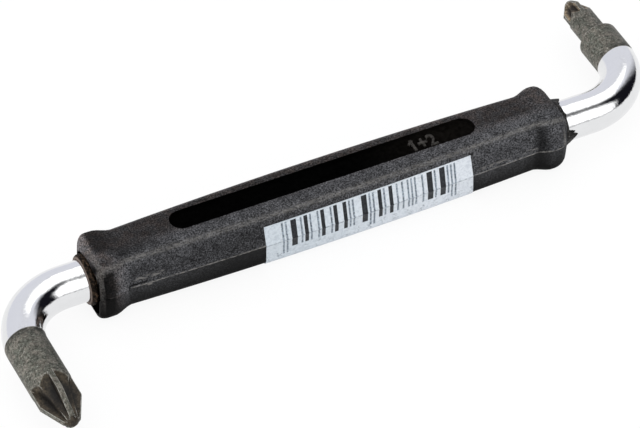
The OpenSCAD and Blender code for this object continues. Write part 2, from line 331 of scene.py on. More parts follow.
bar = start_ring("plated_bar", around_bar, bar_r, bar_axis + Vector((bend_r - leg_x, 0, 0)), across_x)
move_out((2 * (leg_x - bend_r), 0, 0))
for side in (1, -1):
    bend_start = side * (leg_x - bend_r)
    bend_centre = bar_axis + Vector((bend_start, side * bend_r, 0))
    pick("verts", lambda co: abs(co.x - bend_start) < close)
    bpy.ops.mesh.spin(steps=bend_steps, angle=-math.pi / 2, center=bend_centre, axis=(0, 0, 1))
    pick("faces", lambda co: co.x * side > leg_x - bend_r)
    cut_off(bar_axis + Vector((0, side * plated_reach, 0)), (0, side, 0))
finish_mesh()

chrome, tree, shader, coords = new_material("bright_chrome")
shader.inputs["Metallic"].default_value = 1
ripple = noise_node(tree, coords, 0.16, detail=1)
haze = noise_node(tree, stretched(tree, coords, (0.35, 1, 1)), 1.2, detail=4, roughness=0.7)
tree.links.new(mix_colour(tree, haze, chrome_colour, chrome_hazy), shader.inputs["Base Color"])
tree.links.new(ramp_node(tree, haze, ((0.35, 0.05), (0.75, 0.1))), shader.inputs["Roughness"])
waviness = bump_node(tree, ripple, 0.12, shader)
peel = noise_node(tree, coords, 2.4, detail=3, roughness=0.7)
bump_node(tree, peel, 0.018, shader, waviness)
bar.data.materials.append(chrome)
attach(bar, "root")
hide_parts("shaft")

# Points: the bar's own two ends, left unplated, phosphated dark and ground to a cross. A grinding
# wheel cuts each flute in two passes, one beside each wing, and its rim leaves the curved run-out.
wheel_share = 0.85        # the wheel's radius as a share of the blade's diameter
around_wheel = 144
around_point = 96
across_y = (math.pi / 2, 0, 0)
run_in_steps = 6
run_in_angle = math.radians(14)
sharp_angle = math.radians(28)
smooth_below = math.radians(50)
merge_points = 0.012 * MM
steel_colour = (0.062, 0.064, 0.052)
steel_warm = (0.105, 0.096, 0.08)
steel_flecks = (0.26, 0.26, 0.235)
steel_worn = (0.55, 0.54, 0.5)
steel_dark = (0.02, 0.018, 0.015)
flute_browns_and_shade = ((0.013, 0.01, 0.0065), (0.046, 0.036, 0.0235), (0.005, 0.004, 0.003))


def combine(piece, tool, operation):
    """Cuts a tool out of a piece or joins it on, and removes the tool."""
    step = piece.modifiers.new("combine", "BOOLEAN")
    step.operation = operation
    step.solver = "EXACT"
    step.object = tool
    deselect_all()
    bpy.context.view_layer.objects.active = piece
    piece.select_set(True)
    bpy.ops.object.modifier_apply(modifier=step.name)
    bpy.data.objects.remove(tool)


def grind_flutes(point, axis_x, tip_y, side, blade_d, wing_t, core_w, taper, flute_l):
    """Cuts the four flutes of a cross point whose tip looks along Y (side is -1 or 1)."""
    wheel_r = wheel_share * blade_d
    slope = math.tan(taper)
    out = core_w / 2 + wheel_r * math.cos(taper) - blade_d / 2
    along = flute_l + wheel_r * math.sin(taper)
    lead = along - out * slope
    spread = (1 + slope ** 2) * (along ** 2 + out ** 2 - wheel_r ** 2)
    runout = (lead - math.sqrt(lead ** 2 - spread)) / (1 + slope ** 2)
    foot = core_w / 2 + runout * slope
    wheel_out = foot + wheel_r * math.cos(taper)
    wheel_back = runout - wheel_r * math.sin(taper)
    width = blade_d
    for quarter in range(4):
        for swap in (False, True):
            deselect_all()
            bpy.ops.mesh.primitive_cylinder_add(
                vertices=around_wheel, radius=wheel_r, depth=width, location=(0, 0, 0))
            cutter = bpy.context.object
            bpy.ops.object.mode_set(mode="EDIT")
            pick("verts", lambda co: co.y > close)
            bpy.ops.transform.translate(value=(0, 2 * flute_l, 0))
            bpy.ops.object.mode_set(mode="OBJECT")
            # The slot's near flank leans by the taper, its width starts at the wing's face
            lean = Matrix.Rotation(taper, 4, "Z")
            place = Matrix.Translation((wheel_out, -wheel_back, wing_t / 2 + width / 2))
            mirror = Matrix(((0, 0, 1, 0), (0, 1, 0, 0), (1, 0, 0, 0), (0, 0, 0, 1)))
            stand = (mirror if swap else Matrix.Identity(4)) @ place @ lean
            turn = Matrix.Rotation(math.pi / 2 * quarter, 4, "Y")
            aim = Matrix.Scale(side, 4, (0, 1, 0))
            at_tip = Matrix.Translation((axis_x, tip_y, bar_axis.z))
            cutter.data.transform(at_tip @ aim @ turn @ stand)
            bpy.ops.object.mode_set(mode="EDIT")
            bpy.ops.mesh.select_all(action="SELECT")
            bpy.ops.mesh.normals_make_consistent(inside=False)
            bpy.ops.object.mode_set(mode="OBJECT")
            combine(point, cutter, "DIFFERENCE")


def break_edges(point, width):
    """Rounds every sharp edge of a piece by a hair."""
    # The flutes leave points a few thousandths of a millimetre apart, which would fold the bevel
    bpy.ops.object.mode_set(mode="EDIT")
    bpy.ops.mesh.select_all(action="SELECT")
    bpy.ops.mesh.remove_doubles(threshold=merge_points)
    bpy.ops.object.mode_set(mode="OBJECT")
    edge = point.modifiers.new("broken_edges", "BEVEL")
    edge.width = width
    edge.segments = 2
    edge.limit_method = "ANGLE"
    edge.angle_limit = sharp_angle
    edge.use_clamp_overlap = True
    edge.miter_outer = "MITER_ARC"
    bpy.ops.object.modifier_apply(modifier=edge.name)
    bpy.ops.object.shade_smooth_by_angle(angle=smooth_below)


def leg_start(name, side):
    """Starts a point where its leg runs straight, and brings it back to the plating's end."""
    centre = bar_axis + Vector((side * leg_x, side * bend_r, 0))
    point = start_ring(name, around_point, bar_r, centre, across_y)
    bend_centre = bar_axis + Vector((side * (leg_x - bend_r), side * bend_r, 0))
    bpy.ops.mesh.spin(steps=run_in_steps, angle=run_in_angle, center=bend_centre, axis=(0, 0, 1))
    bpy.ops.mesh.select_all(action="SELECT")
    cut_off(bar_axis + Vector((0, side * plated_reach, 0)), (0, -side, 0))
    pick("verts", lambda co: abs(co.y - bar_axis.y - side * bend_r) < close)
    return point


def draw_down(side, length, from_d, to_d, centre_x):
    """Extrudes the selected ring along the leg and draws it to another diameter."""
    move_out((0, side * length, 0))
    if to_d != from_d:
        mesh = bmesh.from_edit_mesh(bpy.context.object.data)
        middle_y = next(v.co.y for v in mesh.verts if v.select)
        scale = to_d / from_d
        bpy.ops.transform.resize(value=(scale, 1, scale),
                                 center_override=(centre_x, middle_y, bar_axis.z))


def multiply_add(tree, value, factor, term):
    """The value times a factor, plus a term."""
    result = math_node(tree, "MULTIPLY_ADD", value, factor)
    result.node.inputs[2].default_value = term
    return result


def scaled(tree, colour, factor):
    """A colour made brighter by a factor, which is a socket or a number."""
    node = tree.nodes.new("ShaderNodeVectorMath")
    node.operation = "SCALE"
    tree.links.new(colour, node.inputs[0])
    if hasattr(factor, "is_linked"):
        tree.links.new(factor, node.inputs["Scale"])
    else:
        node.inputs["Scale"].default_value = factor
    return node.outputs[0]


def millimetres(tree, coords):
    """Places in millimetres from the bar's middle, as their x, y and z."""
    node = tree.nodes.new("ShaderNodeMapping")
    tree.links.new(coords, node.inputs["Vector"])
    node.inputs["Scale"].default_value = (1 / MM, 1 / MM, 1 / MM)
    node.inputs["Location"].default_value = -bar_axis / MM
    split = tree.nodes.new("ShaderNodeSeparateXYZ")
    tree.links.new(node.outputs[0], split.inputs[0])
    return split.outputs


def fade(tree, value, low, high, run="SMOOTHSTEP"):
    """0 at low, 1 at high, smooth or LINEAR between them; low may be the greater one."""
    node = tree.nodes.new("ShaderNodeMapRange")
    node.interpolation_type = run
    tree.links.new(value, node.inputs["Value"])
    node.inputs["From Min"].default_value = min(low, high)
    node.inputs["From Max"].default_value = max(low, high)
    node.inputs["To Min"].default_value = 0 if low < high else 1
    node.inputs["To Max"].default_value = 1 if low < high else 0
    return node.outputs[0]


def phosphated_steel(name, side, reach, nose_l, cone_l, cone_end_d, blade_d, flute_gain):
    """Mottled dark steel, browner in the ground flutes, which are also darkened with depth as painted
    shade, bright where its edges are worn.
    """
    steel, tree, shader, coords = new_material(name)
    shader.inputs["Metallic"].default_value = 0.55
    blade_r = blade_d / 2 / MM
    cone_end_r = cone_end_d / 2 / MM
    cone_slope = (blade_r - cone_end_r) * MM / cone_l
    x_mm, y_mm, z_mm = millimetres(tree, coords)
    # How deep a place lies under the blade's wall or cone, which tells the flutes from the rest
    off_axis = math_node(tree, "SUBTRACT", x_mm, side * leg_x / MM)
    radial = math_node(tree, "POWER", math_node(
        tree, "ADD", math_node(tree, "POWER", off_axis, 2.0), math_node(tree, "POWER", z_mm, 2.0)), 0.5)
    along_leg = product(tree, y_mm, side)
    from_nose = math_node(tree, "SUBTRACT", math_node(tree, "SUBTRACT", reach / MM, along_leg), nose_l / MM)
    cone = multiply_add(tree, from_nose, cone_slope, cone_end_r)
    depth = math_node(tree, "SUBTRACT", math_node(tree, "MINIMUM", cone, blade_r), radial)
    blotches = noise_node(tree, coords, 0.9, detail=4, roughness=0.65)
    specks = noise_node(tree, coords, 5.5, detail=3, roughness=0.7)
    flecks = ramp_node(tree, specks, ((0.56, 0), (0.66, 1)))
    pits = ramp_node(tree, specks, ((0.32, 1), (0.42, 0)))
    body = mix_colour(tree, ramp_node(tree, blotches, ((0.42, 0), (0.6, 1))), steel_colour, steel_warm)
    body = mix_colour(tree, product(tree, flecks, 0.7), body, steel_flecks)
    body = mix_colour(tree, product(tree, pits, 0.85), body, steel_dark)
    # The plating's end is stained
    stain = product(tree, fade(tree, along_leg, 9.2, 7.9),
                    ramp_node(tree, blotches, ((0.45, 0.8), (0.6, 0))))
    body = mix_colour(tree, stain, body, steel_dark)
    # Painted shade: the ground flutes are made brown and darker, darkest where they lie deepest
    flute_brown_dark, flute_brown, flute_shade_deep = [[flute_gain * value for value in colour] for colour in flute_browns_and_shade]
    brown = ramp_node(tree, blotches, ((0.35, flute_brown_dark), (0.65, flute_brown)))
    flute = mix_colour(tree, fade(tree, depth, 0.12 * blade_r, 0.4 * blade_r), brown, flute_shade_deep)
    body = mix_colour(tree, fade(tree, depth, 0.015 * blade_r, 0.06 * blade_r), body, flute)
    grit = ramp_node(tree, noise_node(tree, coords, 2.8, detail=4, roughness=0.7), (
        (0.36, (0.2, 0.19, 0.17)), (0.5, 0.6), (0.66, 1.0)))
    body = mix_colour(tree, 1.0, body, grit, "MULTIPLY")
    # Painted light: the flank towards -X is made paler
    painted_light_flank = multiply_add(tree, fade(tree, off_axis, -0.4, -2.2), 0.75, 1.78)
    body = scaled(tree, body, painted_light_flank)
    rounded = tree.nodes.new("ShaderNodeBevel")
    rounded.samples = 6
    rounded.inputs["Radius"].default_value = 0.2 * MM
    facing = tree.nodes.new("ShaderNodeNewGeometry")
    parallel = tree.nodes.new("ShaderNodeVectorMath")
    parallel.operation = "DOT_PRODUCT"
    tree.links.new(rounded.outputs[0], parallel.inputs[0])
    tree.links.new(facing.outputs["Normal"], parallel.inputs[1])
    edge = ramp_node(tree, parallel.outputs["Value"], ((0.88, 1), (0.99, 0)))
    scuffs = ramp_node(tree, noise_node(tree, coords, 1.6, detail=3), ((0.36, 0.3), (0.6, 1)))
    outer_only = fade(tree, depth, 0.16 * blade_r, 0.07 * blade_r)
    body = mix_colour(tree, product(tree, edge, scuffs, outer_only), body, steel_worn)
    tree.links.new(body, shader.inputs["Base Color"])
    tree.links.new(ramp_node(tree, blotches, ((0.3, 0.62), (0.7, 0.46))), shader.inputs["Roughness"])
    bump_node(tree, specks, 0.02, shader)
    return steel


reach = 24.5 * MM
wall_l = 11.1 * MM
cone_l = 3.7 * MM
cone_end_d = 2.6 * MM
nose_l = 0.7 * MM
nose_d = 0.9 * MM
large_point = leg_start("large_point", -1)
draw_down(-1, wall_l, bar_d, bar_d, -leg_x)
draw_down(-1, cone_l, bar_d, cone_end_d, -leg_x)
draw_down(-1, nose_l, cone_end_d, nose_d, -leg_x)
bpy.ops.mesh.edge_face_add()
finish_mesh()
grind_flutes(large_point, -leg_x, bar_axis.y - reach, -1, blade_d=bar_d, wing_t=0.75 * MM,
             core_w=1.4 * MM, taper=math.radians(10.5), flute_l=7.8 * MM)
break_edges(large_point, 0.05 * MM)
large_point.data.materials.append(phosphated_steel(
    "phosphated_steel", -1, reach, nose_l, cone_l, cone_end_d, bar_d, flute_gain=1.0))
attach(large_point, "root")
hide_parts("pz2_blade")

# The small point is the bar's other end: it is first turned down to a thin shank past a shoulder, whose
# corner is broken, and then ground like the large one.
reach = 22.6 * MM
shank_d = 4.1 * MM
shank_l = 9 * MM
shoulder_break = 0.25 * MM
shoulder_d = bar_d - 2 * shoulder_break
cone_l = 2.0 * MM
cone_end_d = 1.6 * MM
nose_l = 0.4 * MM
nose_d = 0.8 * MM
small_point = leg_start("small_point", 1)
draw_down(1, reach - bend_r - shank_l - shoulder_break, bar_d, bar_d, leg_x)
draw_down(1, shoulder_break, bar_d, shoulder_d, leg_x)
draw_down(1, 0, shoulder_d, shank_d, leg_x)
draw_down(1, shank_l - cone_l - nose_l, shank_d, shank_d, leg_x)
draw_down(1, cone_l, shank_d, cone_end_d, leg_x)
draw_down(1, nose_l, cone_end_d, nose_d, leg_x)
bpy.ops.mesh.edge_face_add()
finish_mesh()
grind_flutes(small_point, leg_x, bar_axis.y + reach, 1, blade_d=shank_d, wing_t=0.6 * MM,
             core_w=1.1 * MM, taper=math.radians(10), flute_l=4.4 * MM)
break_edges(small_point, 0.04 * MM)
small_point.data.materials.append(phosphated_steel(
    "phosphated_steel_thin", 1, reach, nose_l, cone_l, cone_end_d, shank_d, flute_gain=4.5))
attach(small_point, "root")
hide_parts("pz1_blade")

# Handle: one moulding of black plastic round the bar, barrel shaped, with a soft collar at each end.
# Its two halves meet in a parting line with a ragged hair of flash, and the plastic is spark textured.
grip_from = -36.95 * MM
grip_to = 35.35 * MM
grip_x = -1 * MM
waist_x = 31 * MM
crest_x = 33.7 * MM
handle_sizes = {"width": (8.1 * MM, 9.4 * MM, 9.6 * MM), "height": (9.6 * MM, 9.7 * MM, 10 * MM)}
wall_draft = math.radians(7)
corner_r = {"near": 1.4 * MM, "far": 1.0 * MM}
corner_steps = 8
seam_h = 0.12 * MM
seam_w = 0.15 * MM
seam_ragged = 0.035 * MM
parting_drop = 0.2 * MM
parting = bar_axis - Vector((0, 0, parting_drop))
block = 10 * MM
corner_y = 3.2 * MM        # an edge beyond both of these is a corner of the section
corner_z = 4 * MM
handle_smooth = 40
ring_spacing = 0.6 * MM
# How far each end's rounding reaches: along the bar, and in from the near, far, lower and upper side
end_rounding = {-1: (1.3 * MM, 0.7 * MM, 1.2 * MM, 0.5 * MM, 1.7 * MM),
                1: (2.2 * MM, 1.7 * MM, 2.2 * MM, 1.6 * MM, 2.8 * MM)}
rounding_steps = 7
dish_inset = 0.96
dish_depth = 0.5 * MM
# The underside between the collars sits this much higher than the section's symmetry would have it
hollow_underside = 0.14 * MM
flash_from = -32.6 * MM


def size_at(kind, x):
    """Width or height of the handle at a station: a barrel between the waists, flared at the collars."""
    waist, middle, collar = handle_sizes[kind]
    belly = max(0, 1 - (x / waist_x) ** 2)
    share = min(1, max(0, (abs(x) - waist_x) / (crest_x - waist_x)))
    flare = share * share * (3 - 2 * share)
    return waist + (middle - waist) * belly + (collar - waist) * flare


def start_block(size, centre, rotation=(0, 0, 0)):
    """Adds a block of that size round a centre and returns it."""
    deselect_all()
    bpy.ops.mesh.primitive_cube_add(size=1)
    piece = bpy.context.object
    piece.scale = size
    piece.rotation_euler = rotation
    piece.location = centre
    bpy.ops.object.transform_apply(location=True, rotation=True, scale=True)
    return piece


body_from = grip_from + end_rounding[-1][0]
body_to = grip_to - end_rounding[1][0]
handle = start_block((body_to - body_from, block, block),
                     bar_axis + Vector(((body_from + body_to) / 2, 0, 0)))
handle.name = handle.data.name = "handle"
bpy.ops.object.mode_set(mode="EDIT")
bpy.ops.mesh.select_all(action="SELECT")
bpy.ops.mesh.bisect(plane_co=parting, plane_no=(0, 0, 1), threshold=weld)
ring_count = round((body_to - body_from) / ring_spacing)
stations = [body_from + (body_to - body_from) * step / ring_count for step in range(ring_count + 1)]
for station in stations[1:-1]:
    bpy.ops.mesh.select_all(action="SELECT")
    bpy.ops.mesh.bisect(plane_co=bar_axis + Vector((station, 0, 0)), plane_no=(1, 0, 0), threshold=weld)
for station in stations:
    width = size_at("width", station - grip_x)
    height = size_at("height", station - grip_x)
    centre = bar_axis + Vector((station, 0, 0))
    pick("verts", lambda co: abs(co.x - centre.x) < close and abs(co.z - parting.z) < close)
    bpy.ops.transform.resize(value=(1, width / block, 1), center_override=centre)
    pick("verts", lambda co: abs(co.x - centre.x) < close and abs(co.z - parting.z) > close)
    corner = width - height * math.tan(wall_draft)
    bpy.ops.transform.resize(value=(1, corner / block, height / block), center_override=centre)
    pick("verts", lambda co: abs(co.x - centre.x) < close and co.z - parting.z < -close)
    collar = min(1, max(0, (abs(station - grip_x) - waist_x) / (crest_x - waist_x)))
    bpy.ops.transform.translate(value=(0, 0, hollow_underside * (1 - collar)))
pick("edges", lambda co: abs(co.z - parting.z) < close and body_from + close < co.x < body_to - close)
bpy.ops.mesh.bevel(offset=seam_w, segments=2, affect="EDGES")
for side in (-1, 1):
    pick("verts", lambda co: abs(co.z - parting.z) < close and (co.y - bar_axis.y) * side > 0
         and co.x > bar_axis.x + flash_from)
    bpy.ops.transform.translate(value=(0, side * seam_h, 0))
pick("verts", lambda co: abs(co.z - parting.z) < parting_drop)
bpy.ops.transform.vertex_random(offset=seam_ragged, seed=7)
for where, side in (("near", -1), ("far", 1)):
    pick("edges", lambda co: abs(co.z - bar_axis.z) > corner_z and side * (co.y - bar_axis.y) > corner_y
         and body_from + close < co.x < body_to - close)
    bpy.ops.mesh.bevel(offset=corner_r[where], segments=corner_steps, affect="EDGES")
width = size_at("width", crest_x)
height = size_at("height", crest_x)
for side, end_x in ((-1, body_from), (1, body_to)):
    length, near, far, lower, upper = end_rounding[side]
    pick("faces", lambda co: abs(co.x - end_x) < close)
    # The section shrinks towards the point that splits both insets in their own proportions
    focus = (end_x, bar_axis.y - width / 2 + width * near / (near + far),
             bar_axis.z - height / 2 + height * lower / (lower + upper))
    drawn = 0.0
    reached = 0.0
    for step in range(1, rounding_steps + 1):
        turn = math.pi / 2 * step / rounding_steps
        move_out((side * (length * math.sin(turn) - reached), 0, 0))
        reached = length * math.sin(turn)
        share = 1 - math.cos(turn)
        scale = [(size - share * inset) / (size - drawn * inset)
                 for size, inset in ((width, near + far), (height, lower + upper))]
        bpy.ops.transform.resize(value=(1, *scale), center_override=focus)
        drawn = share
    if side < 0:
        # The left end face is dished round the lip
        move_out((0, 0, 0))
        bpy.ops.transform.resize(value=(1, dish_inset, dish_inset), center_override=bar_axis)
        move_out((dish_depth, 0, 0))
finish_mesh(handle_smooth)

# The sticker's blank is lifted off the smooth side of the handle before the recess is cut
blank = handle.copy()
blank.data = handle.data.copy()
bpy.context.collection.objects.link(blank)

# Recess: a round ended trough in the top face of the moulding, set a little off the middle. Its mouth is
# softened and its floor carries the raised figures.
recess_l = 46.6 * MM
recess_w = 3.7 * MM
recess_off = 0.45 * MM
recess_floor = 4.2 * MM
mouth_z = 4.77 * MM
floor_round = 0.12 * MM
end_round = 0.499 * recess_w
end_steps = 12
# The mouth opens upwards in steps, each with its rise and how much longer and wider it then is, in mm
mouth_steps = ((0.03, 0.01), (0.03, 0.04), (0.03, 0.08), (0.3, 0.5))
trough_middle = bar_axis + Vector((grip_x, recess_off, (mouth_z + recess_floor) / 2))
trough = start_block((recess_l, recess_w, mouth_z - recess_floor), trough_middle)
bpy.ops.object.mode_set(mode="EDIT")
pick("edges", lambda co: abs(co.z - trough_middle.z) < close)
bpy.ops.mesh.bevel(offset=end_round, segments=end_steps, affect="EDGES")
pick("faces", lambda co: abs(co.z - bar_axis.z - recess_floor) < close)
bpy.ops.mesh.bevel(offset=floor_round, segments=3, affect="EDGES")
pick("faces", lambda co: abs(co.z - bar_axis.z - mouth_z) < close)
for rise, spread in mouth_steps:
    move_out((0, 0, rise * MM))
    bpy.ops.transform.resize(
        value=((recess_l + spread * MM) / recess_l, (recess_w + spread * MM) / recess_w, 1),
        center_override=bar_axis + Vector((grip_x, recess_off, 0)))
bpy.ops.mesh.select_all(action="SELECT")
bpy.ops.mesh.normals_make_consistent(inside=False)
bpy.ops.object.mode_set(mode="OBJECT")
combine(handle, trough, "DIFFERENCE")
bpy.ops.object.shade_smooth_by_angle(angle=math.radians(handle_smooth))


def rise_between(value, low, high):
    """0 below low, 1 above high and straight between them."""
    return min(1, max(0, (value - low) / (high - low)))


# Wear and painted highlights are set on the vertices: red is the scuffed line along the near upper edge and
# the parting line, with half of the painted highlight on the left end's edge; green is a broad painted
# highlight round that edge and the painted highlight on the left end's edge; blue is a painted highlight
# along the far edge and on the upper corner of the left end
wear_and_highlights = handle.data.attributes.new("wear_and_highlights", "FLOAT_COLOR", "POINT")
for vertex in handle.data.vertices:
    x, y, z = (vertex.co - bar_axis) / MM
    tilt = math.degrees(math.atan2(vertex.normal.z, -vertex.normal.y))
    far_tilt = math.degrees(math.atan2(vertex.normal.z, vertex.normal.y))
    line = broad_highlight = flash = arris_highlight = rim_highlight = corner = 0
    # A scuffed line along the near upper edge, and a broad painted highlight round it
    if z > 2 and y < 0:
        line = 0.48 * math.exp(-((tilt - 45) / 11) ** 2)
        broad_highlight = 0.5 * math.exp(-((tilt - 48) / 25) ** 4)
    if abs(z + parting_drop / MM) < 0.06 and abs(y) > 3.9 and x > flash_from / MM:
        flash = 1.0
    # A painted highlight on the left end's edge
    if x < -35.6 and y < 1.5 and 0.35 < -vertex.normal.x < 0.93:
        arris_highlight = 0.55 * rise_between(z, -1.5, 1)
    # A painted highlight along the far upper edge
    if z > 2 and y > 1.5 and abs(x) < 33:
        rim_highlight = 0.32 * math.exp(-((far_tilt - 55) / 28) ** 4)
    # A painted highlight on the upper corner of the left end
    if x < -35:
        corner = rise_between(-vertex.normal.x, 0.15, 0.65) * rise_between(z, 0.8, 2.8)
        corner *= rise_between(y, -2, 0)
    wear_and_highlights.data[vertex.index].color = (
        max(line, flash, 0.5 * arris_highlight), max(broad_highlight, arris_highlight), max(rim_highlight, corner), 1)

# Painted light and shade of the plastic along the handle, as (x in mm from the bar's middle, base colour)
# per zone
tone_span = 80
painted_tones = {
    "top_near": (
        (-36, 0.045), (-34, 0.045), (-33, 0.02), (-31, 0.024), (-28, 0.041), (-24, 0.053), (8, 0.051),
        (15, 0.056), (26, 0.062), (30, 0.058), (32, 0.052), (36, 0.05)),
    "top": (
        (-36, 0.013), (-34, 0.014), (-32, 0.022), (-29, 0.018), (-24, 0.019), (0, 0.024), (20, 0.028),
        (24, 0.025), (29, 0.022), (31, 0.028), (33, 0.045), (36, 0.045)),
    "upper_wall": (
        (-36.5, 0.002), (-35, 0.012), (-34.4, 0.066), (-33.6, 0.1), (-32.6, 0.098), (-32, 0.046),
        (-31, 0.057), (-26, 0.051), (-20, 0.044), (-14, 0.040), (20, 0.065), (28, 0.069),
        (29.6, 0.068), (30.6, 0.016), (31.4, 0.02), (32.2, 0.06), (33.4, 0.066), (35, 0.045)),
    "lower_wall": (
        (-36.5, 0.0), (-35, 0.001), (-34.4, 0.026), (-33.6, 0.056), (-32.8, 0.05), (-32, 0.026),
        (-29, 0.027), (-23, 0.022), (-17, 0.009), (19, 0.013), (22, 0.032), (28, 0.032),
        (30.6, 0.006), (31.6, 0.014), (32.6, 0.03), (34, 0.026)),
}
foot_shade_black = (0.0005, 0.0005, 0.0005)
edge_highlight_grey = (0.047, 0.047, 0.047)
rim_highlight_grey = (0.13, 0.13, 0.13)
dust_tint = (1.14, 0.97, 0.93)
wall_tint = (0.97, 0.98, 1.05)
noise_gain = 2.85        # makes up for what the mottle and the grain take away
flash_and_highlight_pale = (0.25, 0.24, 0.226)
rubbed_grey = (0.15, 0.145, 0.14)
flash_shadow_black = (0.001, 0.001, 0.001)
curl_pale = (0.2, 0.19, 0.18)
plastic, tree, shader, coords = new_material("black_plastic")
shader.inputs["Specular IOR Level"].default_value = 0.04
x_mm, y_mm, z_mm = millimetres(tree, coords)
along = multiply_add(tree, x_mm, 1 / tone_span, 0.5)
shade_zone = {name: ramp_node(tree, along, [(x / tone_span + 0.5, tone) for x, tone in stops])
        for name, stops in painted_tones.items()}
# Painted shade: the lower wall darkens towards its foot, and the upper one is darkest a little above the
# parting line
off_foot = math_node(tree, "POWER", fade(tree, z_mm, -4.3, -0.4, "LINEAR"), 1.15)
lower = mix_colour(tree, off_foot, foot_shade_black, shade_zone["lower_wall"])
rising = ramp_node(tree, product(tree, z_mm, 0.25), ((0.05, 0.84), (0.3, 0.72), (0.6, 0.8), (0.95, 1)))
upper = mix_colour(tree, 1.0, shade_zone["upper_wall"], rising, "MULTIPLY")
wall = mix_colour(tree, fade(tree, z_mm, -0.35, -0.15), lower, upper)
on_top = fade(tree, z_mm, 3.9, 4.6)
# Painted light: the top is paler towards its near edge
top = mix_colour(tree, fade(tree, y_mm, -0.1, -1.7), shade_zone["top"], shade_zone["top_near"])
body = mix_colour(tree, on_top, wall, top)
painted = tree.nodes.new("ShaderNodeVertexColor")
painted.layer_name = "wear_and_highlights"
zones = tree.nodes.new("ShaderNodeSeparateColor")
tree.links.new(painted.outputs["Color"], zones.inputs[0])
scuff_flash_highlight, edge_highlight, rim_corner_highlight = zones.outputs
# Painted highlights: grey round the near upper edge and the left end's edge, paler along the far edge and
# the left end's upper corner
body = mix_colour(tree, edge_highlight, body, edge_highlight_grey)
body = mix_colour(tree, rim_corner_highlight, body, rim_highlight_grey)
mottle = noise_node(tree, coords, 0.6, detail=5, roughness=0.65)
spark = noise_node(tree, coords, 4.8, detail=3, roughness=0.6)
body = mix_colour(tree, 1.0, body, ramp_node(tree, mottle, ((0.35, 0.5), (0.65, 1.0))), "MULTIPLY")
grains = ramp_node(tree, spark, ((0.35, 0.07), (0.5, 0.4), (0.66, 0.96)))
body = mix_colour(tree, 1.0, body, grains, "MULTIPLY")
# Reddish dust lies on the top and the ends; the walls are faintly blue
dusty = math_node(tree, "MAXIMUM", product(tree, on_top, fade(tree, y_mm, -2.4, 0.5)),
                  fade(tree, x_mm, -32, -36))
dust = ramp_node(tree, noise_node(tree, coords, 0.9, detail=3), ((0.4, 0.3), (0.6, 1)))
tint = mix_colour(tree, product(tree, dusty, dust), wall_tint, dust_tint)
body = mix_colour(tree, 1.0, body, scaled(tree, tint, noise_gain), "MULTIPLY")
# The scuffed line and the flash are pale, and so is half of the painted highlight on the left end's edge
streaks = stretched(tree, coords, (0.5, 1.8, 1.8))
broken = ramp_node(tree, noise_node(tree, streaks, 3.0, detail=4, roughness=0.7), ((0.42, 0.15), (0.6, 1)))
body = mix_colour(tree, product(tree, scuff_flash_highlight, broken), body, flash_and_highlight_pale)


def wall_patch(x_range, z_range):
    """1 on a patch of the plastic, given in mm as (low, high, softness) along X and Z, 0 round it."""
    sides = []
    for value, (low, high, soft) in ((x_mm, x_range), (z_mm, z_range)):
        sides += [fade(tree, value, low - soft, low + soft), fade(tree, value, high + soft, high - soft)]
    return product(tree, *sides)


# Faults of the flash: rubbed places above it, a painted shadow line above it with a hook at its left end,
# and a curl below it
near_wall = fade(tree, y_mm, -2.0, -3.0)
rubs = ramp_node(tree, noise_node(tree, streaks, 2.0, detail=3), ((0.46, 0), (0.58, 0.85)))
rubbed = math_node(tree, "MAXIMUM", wall_patch((-31.6, -27.2, 0.5), (0.65, 1.2, 0.25)),
                   wall_patch((20.8, 30.2, 0.5), (0.25, 0.65, 0.2)))
body = mix_colour(tree, product(tree, rubbed, near_wall, rubs), body, rubbed_grey)
flash_shadow = math_node(tree, "MAXIMUM", wall_patch((-32.6, -29.9, 0.1), (0.02, 0.3, 0.06)),
                  wall_patch((-32.7, -32.5, 0.05), (-0.75, 0.2, 0.1)))
body = mix_colour(tree, product(tree, flash_shadow, near_wall, 0.85), body, flash_shadow_black)
curl = wall_patch((-29.85, -29.2, 0.15), (-0.7, -0.25, 0.12))
body = mix_colour(tree, product(tree, curl, near_wall, 0.8), body, curl_pale)
tree.links.new(body, shader.inputs["Base Color"])
tree.links.new(ramp_node(tree, mottle, ((0.3, 0.46), (0.7, 0.6))), shader.inputs["Roughness"])
bump_node(tree, spark, 0.05, shader)

# Painted shade: a near-black material without specular for the recess and the hollow round the left lip
recess_shade_black = (0.0012, 0.0012, 0.0012)
recess_dusty = (0.006, 0.0053, 0.0047)
deep, tree, shader, coords = new_material("recess_shade_black")
shader.inputs["Specular IOR Level"].default_value = 0.0
grime = noise_node(tree, coords, 1.4, detail=4, roughness=0.7)
x_mm, y_mm, z_mm = millimetres(tree, coords)
body = mix_colour(tree, fade(tree, x_mm, 2, 18), recess_shade_black, recess_dusty)
body = mix_colour(tree, 1.0, body, ramp_node(tree, grime, ((0.35, 0.3), (0.7, 1))), "MULTIPLY")
tree.links.new(body, shader.inputs["Base Color"])
tree.links.new(ramp_node(tree, grime, ((0.3, 0.75), (0.7, 0.6))), shader.inputs["Roughness"])
bump_node(tree, noise_node(tree, coords, 4.2, detail=3), 0.04, shader)
handle.data.materials.append(plastic)
handle.data.materials.append(deep)
